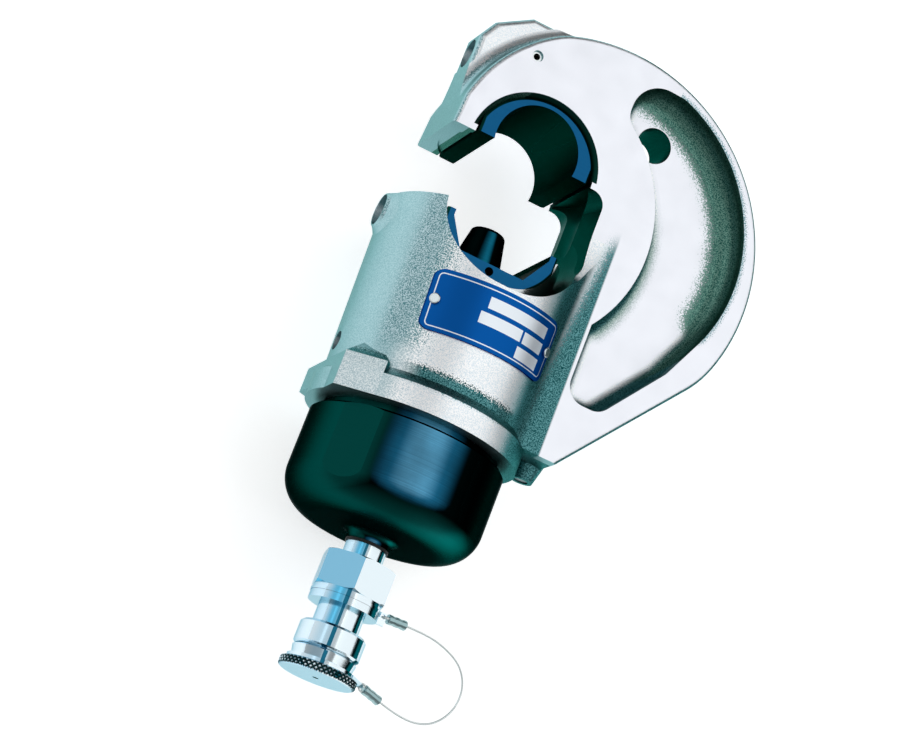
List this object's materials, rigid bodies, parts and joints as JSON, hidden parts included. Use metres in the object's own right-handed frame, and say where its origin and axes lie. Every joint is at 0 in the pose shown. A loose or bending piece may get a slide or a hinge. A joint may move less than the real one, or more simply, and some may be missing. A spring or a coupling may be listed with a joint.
{
  "type": "hydraulic crimping head",
  "caption": "Hydraulic crimping head: open forged C jaw with half-round dies, sprung ram in a screwed cylinder, and a quick coupler under a tethered knurled dust cap.",
  "frame": {"origin": "axis of the crimp nest on the ram's axis, at mid thickness of the jaw", "axes": "+Y along the ram's stroke towards the fixed jaw, +X from the open throat to the spine, +Z out of the face with the plate, up when the tool lies on its back"},
  "size_m": [0.1305, 0.243, 0.076],
  "materials": {
    "forging": "shot-blasted zinc-plated forging",
    "cap_black": "black oxide over turned steel",
    "die_blue": "blued tool steel",
    "punch_black": "black oxide",
    "ground_steel": "ground",
    "screw_steel": "plain",
    "rubber_seal": "moulded",
    "ring_plastic": "turned",
    "spring_steel": "drawn wire",
    "coupler_zinc": "bright zinc plated, turned",
    "ferrule_metal": "crimped",
    "wire": "stranded",
    "plate_blue": "anodised, printed borders",
    "rivet": "domed"
  },
  "bodies": {
    "head": {"head_body": "forging", "cylinder_cap": "cap_black", "cap_lock_screw": "screw_steel", "lug_screw": "screw_steel", "ram_key_screw": "screw_steel", "rating_plate": "plate_blue", "plate_rivets": "rivet", "upper_die": "die_blue", "release_cross_pin": "ground_steel", "release_spring": "spring_steel", "return_rod": "ground_steel", "rod_nut": "ground_steel", "return_spring": "spring_steel", "coupler_body": "coupler_zinc", "coupler_seal": "rubber_seal", "coupler_washer": "coupler_zinc", "coupler_sleeve": "coupler_zinc", "poppet_spring": "spring_steel", "lanyard_anchor_ring": "coupler_zinc", "upper_ferrule": "ferrule_metal", "lanyard_wire": "wire"},
    "ram": {"ram": "ground_steel", "ram_seal": "rubber_seal", "ram_backup_ring": "ring_plastic", "ram_wear_ring": "ring_plastic", "spring_retainer": "ground_steel", "lower_die": "die_blue", "indent_punch": "punch_black", "punch_cross_pin": "ground_steel", "detent_spring": "spring_steel"},
    "detent": {"lower_die_detent": "ground_steel"},
    "release_button": {"upper_release_pin": "ground_steel"},
    "latch": {"upper_latch_pin": "ground_steel"},
    "poppet": {"coupler_poppet": "coupler_zinc"},
    "cap_ring": {"lanyard_cap_ring": "coupler_zinc", "lower_ferrule": "ferrule_metal"},
    "dust_cap": {"dust_cap": "coupler_zinc", "dust_cap_seal": "rubber_seal"}
  },
  "joints": [
    {"name": "ram_stroke", "type": "slide", "parent": "head", "child": "ram", "axis": [0, 1, 0], "range_m": [0, 0.025], "stiffness_N_per_m": 4000, "springref_m": -0.012, "deforming": ["return_spring"]},
    {"name": "lower_die_detent_dip", "type": "slide", "parent": "ram", "child": "detent", "axis": [0, -1, 0], "range_m": [0, 0.0011], "stiffness_N_per_m": 1500, "springref_m": -0.002, "deforming": ["detent_spring"]},
    {"name": "upper_die_release", "type": "slide", "parent": "head", "child": "release_button", "axis": [1, 0, 0], "range_m": [0, 0.004], "stiffness_N_per_m": 2000, "springref_m": -0.002, "deforming": ["release_spring"]},
    {"name": "upper_latch_lift", "type": "slide", "parent": "head", "child": "latch", "axis": [0, 1, 0], "range_m": [0, 0.0017]},
    {"name": "coupler_valve", "type": "slide", "parent": "head", "child": "poppet", "axis": [0, 1, 0], "range_m": [0, 0.0025], "stiffness_N_per_m": 1000, "springref_m": -0.002, "deforming": ["poppet_spring"]},
    {"name": "dust_cap_travel", "type": "slide", "parent": "head", "child": "cap_ring", "axis": [0, -1, 0], "range_m": [0, 0.00605], "deforming": ["lanyard_wire"]},
    {"name": "dust_cap_turn", "type": "hinge", "parent": "cap_ring", "child": "dust_cap", "pos_m": [0, -0.1914, 0], "axis": [0, -1, 0], "range_deg": [0, 1440]}
  ],
  "couplings": [
    {"joint": "upper_latch_lift", "follows": "upper_die_release", "ratio": 0.4},
    {"joint": "dust_cap_travel", "follows": "dust_cap_turn", "m_per_rad": 0.00023873}
  ]
}
